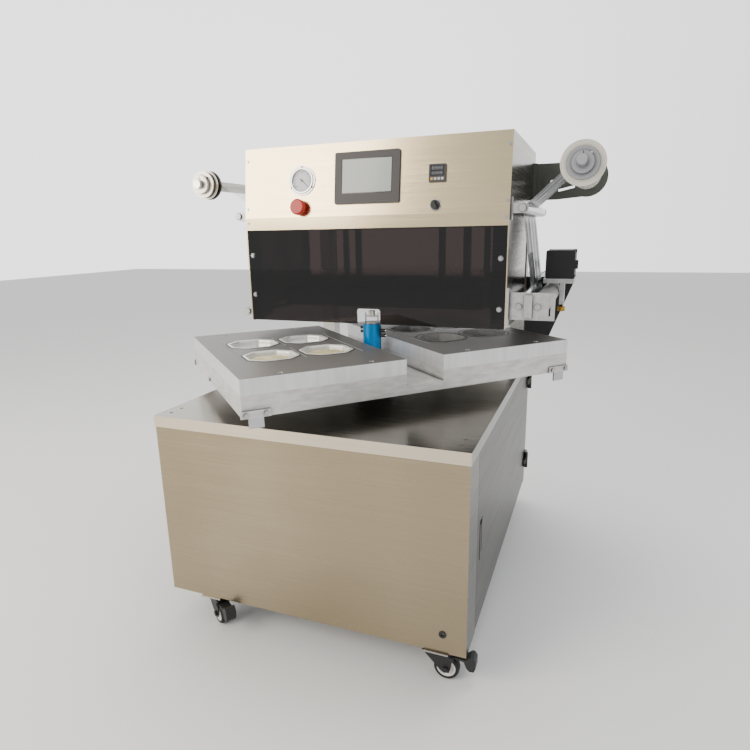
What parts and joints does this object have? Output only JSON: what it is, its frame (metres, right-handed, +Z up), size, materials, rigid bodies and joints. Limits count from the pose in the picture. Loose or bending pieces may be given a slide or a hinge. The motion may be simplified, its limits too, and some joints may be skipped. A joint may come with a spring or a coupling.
{
  "type": "rotary tray sealing machine",
  "caption": "Free-standing rotary film sealing machine: cabinet on casters, turntable with lower moulds, sealing head with guard, control panel and film reels.",
  "frame": {"origin": "on the floor under the middle of the cabinet", "axes": "+X to the operator's right, +Y towards the machine's back, +Z up"},
  "size_m": [1.3158, 1.2085, 1.305],
  "materials": {
    "warm_stainless": "brushed",
    "polished_stainless": "polished",
    "frame_steel": "satin",
    "black_parts": "matte",
    "black_metal": "satin",
    "tyre_rubber": "matte",
    "satin_aluminium": "satin",
    "grey_anodised": "matte",
    "arm_grey": "satin",
    "bright_steel": "polished",
    "brass": "polished",
    "panel_grey": "matte",
    "gauge_black": "gloss",
    "red_button": "gloss",
    "union_blue": "gloss",
    "tinted_guard": "clear tinted",
    "clear_film": "clear",
    "tray_white": "gloss"
  },
  "bodies": {
    "machine_frame": {"base_frame": "frame_steel", "cabinet_shell": "warm_stainless", "cabinet_lid": "polished_stainless", "cabinet_fittings": "black_parts", "caster_plates": "black_metal", "press_frame": "frame_steel", "press_cylinders": "satin_aluminium", "control_panel": "warm_stainless", "side_panels": "polished_stainless", "head_cover": "polished_stainless", "guard_window": "tinted_guard", "fasteners": "bright_steel", "touch_panel": "panel_grey", "vacuum_gauge": "gauge_black", "temperature_controller": "black_parts", "union_stator": "frame_steel", "table_drive": "satin_aluminium", "vacuum_pump": "black_metal", "electrics": "panel_grey", "film_infeed": "clear_film", "film_outfeed": "clear_film", "film_arms": "arm_grey", "rewind_motor": "black_metal", "roller_brackets": "satin_aluminium", "motor_bracket": "black_metal", "film_motor": "black_metal", "drive_belt": "black_parts"},
    "table": {"turntable": "satin_aluminium", "lower_moulds": "grey_anodised", "table_hardware": "bright_steel", "union_body": "union_blue"},
    "upper_press": {"upper_mould": "satin_aluminium", "press_carriage": "grey_anodised", "film_web": "clear_film"},
    "door": {"door_panel": "warm_stainless"},
    "lock_lever": {"door_lock": "warm_stainless"},
    "needle": {"gauge_needle": "black_parts"},
    "estop": {"estop_button": "red_button"},
    "selector": {"selector_knob": "black_parts"},
    "supply": {"supply_reel": "satin_aluminium"},
    "rewind": {"rewind_reel": "satin_aluminium"},
    "guide_upper_left": {"upper_left_roller": "bright_steel"},
    "guide_lower_left": {"lower_left_roller": "bright_steel"},
    "guide_upper_right": {"upper_right_roller": "bright_steel"},
    "drive": {"drive_roller": "bright_steel"},
    "pressure": {"pressure_roller": "tyre_rubber"},
    "film_motor_shaft": {"motor_shaft": "bright_steel"},
    "nip_screw": {"nip_knob": "brass"},
    "tray_body_1": {"tray_1": "tray_white"},
    "tray_body_2": {"tray_2": "tray_white"},
    "tray_body_3": {"tray_3": "tray_white"},
    "tray_body_4": {"tray_4": "tray_white"},
    "fork_left": {"caster_fork_left": "black_parts"},
    "pedal_left": {"brake_pedal_left": "black_parts"},
    "front_left_wheel": {"wheel_front_left": "tyre_rubber"},
    "rear_left_wheel": {"wheel_rear_left": "tyre_rubber"},
    "fork_right": {"caster_fork_right": "black_parts"},
    "pedal_right": {"brake_pedal_right": "black_parts"},
    "front_right_wheel": {"wheel_front_right": "tyre_rubber"},
    "rear_right_wheel": {"wheel_rear_right": "tyre_rubber"}
  },
  "joints": [
    {"name": "table_turn", "type": "hinge", "parent": "machine_frame", "child": "table", "pos_m": [0, -0.0255, 0.638], "axis": [0, 0, 1], "continuous": true},
    {"name": "press_stroke", "type": "slide", "parent": "machine_frame", "child": "upper_press", "axis": [0, 0, -1], "range_m": [0, 0.08625]},
    {"name": "door_swing", "type": "hinge", "parent": "machine_frame", "child": "door", "pos_m": [0.427, 0.505, 0.32], "axis": [0, 0, 1], "range_deg": [0, 110]},
    {"name": "lever_lift", "type": "hinge", "parent": "door", "child": "lock_lever", "pos_m": [0.4151, -0.3875, 0.345], "axis": [0, -1, 0], "range_deg": [0, 60]},
    {"name": "gauge_needle_turn", "type": "hinge", "parent": "machine_frame", "child": "needle", "pos_m": [-0.21, -0.04374, 1.20404], "axis": [0, -0.9922, 0.1249], "range_deg": [-120, 140]},
    {"name": "estop_press", "type": "slide", "parent": "machine_frame", "child": "estop", "axis": [0, 0.9922, -0.1249], "range_m": [0, 0.005], "stiffness_N_per_m": 400, "springref_m": -0.005},
    {"name": "selector_turn", "type": "hinge", "parent": "machine_frame", "child": "selector", "pos_m": [0.206, -0.06018, 1.12145], "axis": [0, -0.9922, 0.1249], "range_deg": [-45, 45]},
    {"name": "supply_turn", "type": "hinge", "parent": "machine_frame", "child": "supply", "pos_m": [-0.621, 0.246, 1.215], "axis": [0, 1, 0], "continuous": true},
    {"name": "rewind_turn", "type": "hinge", "parent": "machine_frame", "child": "rewind", "pos_m": [0.583, 0.246, 1.2185], "axis": [0, 1, 0], "continuous": true},
    {"name": "upper_left_roller_turn", "type": "hinge", "parent": "machine_frame", "child": "guide_upper_left", "pos_m": [-0.442, 0.22, 1.106], "axis": [0, 1, 0], "continuous": true},
    {"name": "lower_left_roller_turn", "type": "hinge", "parent": "machine_frame", "child": "guide_lower_left", "pos_m": [-0.432, 0.22, 0.805], "axis": [0, 1, 0], "continuous": true},
    {"name": "upper_right_roller_turn", "type": "hinge", "parent": "machine_frame", "child": "guide_upper_right", "pos_m": [0.442, 0.22, 1.106], "axis": [0, 1, 0], "continuous": true},
    {"name": "drive_roller_turn", "type": "hinge", "parent": "machine_frame", "child": "drive", "pos_m": [0.442, 0.22, 0.844], "axis": [0, 1, 0], "continuous": true},
    {"name": "pressure_roller_turn", "type": "hinge", "parent": "machine_frame", "child": "pressure", "pos_m": [0.4932, 0.22, 0.844], "axis": [0, 1, 0], "continuous": true},
    {"name": "motor_shaft_turn", "type": "hinge", "parent": "machine_frame", "child": "film_motor_shaft", "pos_m": [0.529, 0.4, 0.944], "axis": [0, 1, 0], "continuous": true},
    {"name": "nip_knob_turn", "type": "hinge", "parent": "machine_frame", "child": "nip_screw", "pos_m": [0.532, 0.36, 0.787], "axis": [0, 0, 1], "range_deg": [-720, 720]},
    {"name": "tray_1_lift", "type": "slide", "parent": "table", "child": "tray_body_1", "axis": [0, 0, -1], "range_m": [-0.04, 0]},
    {"name": "tray_2_lift", "type": "slide", "parent": "table", "child": "tray_body_2", "axis": [0, 0, -1], "range_m": [-0.04, 0]},
    {"name": "tray_3_lift", "type": "slide", "parent": "table", "child": "tray_body_3", "axis": [0, 0, -1], "range_m": [-0.04, 0]},
    {"name": "tray_4_lift", "type": "slide", "parent": "table", "child": "tray_body_4", "axis": [0, 0, -1], "range_m": [-0.04, 0]},
    {"name": "swivel_left", "type": "hinge", "parent": "machine_frame", "child": "fork_left", "pos_m": [-0.292, -0.506, 0.07], "axis": [0, 0, 1], "continuous": true},
    {"name": "front_left_roll", "type": "hinge", "parent": "fork_left", "child": "front_left_wheel", "pos_m": [-0.27334, -0.51766, 0.0315], "axis": [0.5299, 0.848, 0], "continuous": true},
    {"name": "pedal_left_press", "type": "hinge", "parent": "fork_left", "child": "pedal_left", "pos_m": [-0.26232, -0.52455, 0.064], "axis": [0.5299, 0.848, 0], "range_deg": [0, 10]},
    {"name": "swivel_right", "type": "hinge", "parent": "machine_frame", "child": "fork_right", "pos_m": [0.346, -0.506, 0.07], "axis": [0, 0, 1], "continuous": true},
    {"name": "front_right_roll", "type": "hinge", "parent": "fork_right", "child": "front_right_wheel", "pos_m": [0.368, -0.506, 0.0315], "axis": [0, 1, 0], "continuous": true},
    {"name": "pedal_right_press", "type": "hinge", "parent": "fork_right", "child": "pedal_right", "pos_m": [0.381, -0.506, 0.064], "axis": [0, 1, 0], "range_deg": [0, 10]},
    {"name": "rear_left_roll", "type": "hinge", "parent": "machine_frame", "child": "rear_left_wheel", "pos_m": [-0.345, 0.502, 0.0315], "axis": [1, 0, 0], "continuous": true},
    {"name": "rear_right_roll", "type": "hinge", "parent": "machine_frame", "child": "rear_right_wheel", "pos_m": [0.345, 0.502, 0.0315], "axis": [1, 0, 0], "continuous": true}
  ],
  "couplings": [
    {"joint": "pressure_roller_turn", "follows": "drive_roller_turn", "ratio": -0.78571},
    {"joint": "motor_shaft_turn", "follows": "drive_roller_turn", "ratio": 1.6667}
  ]
}
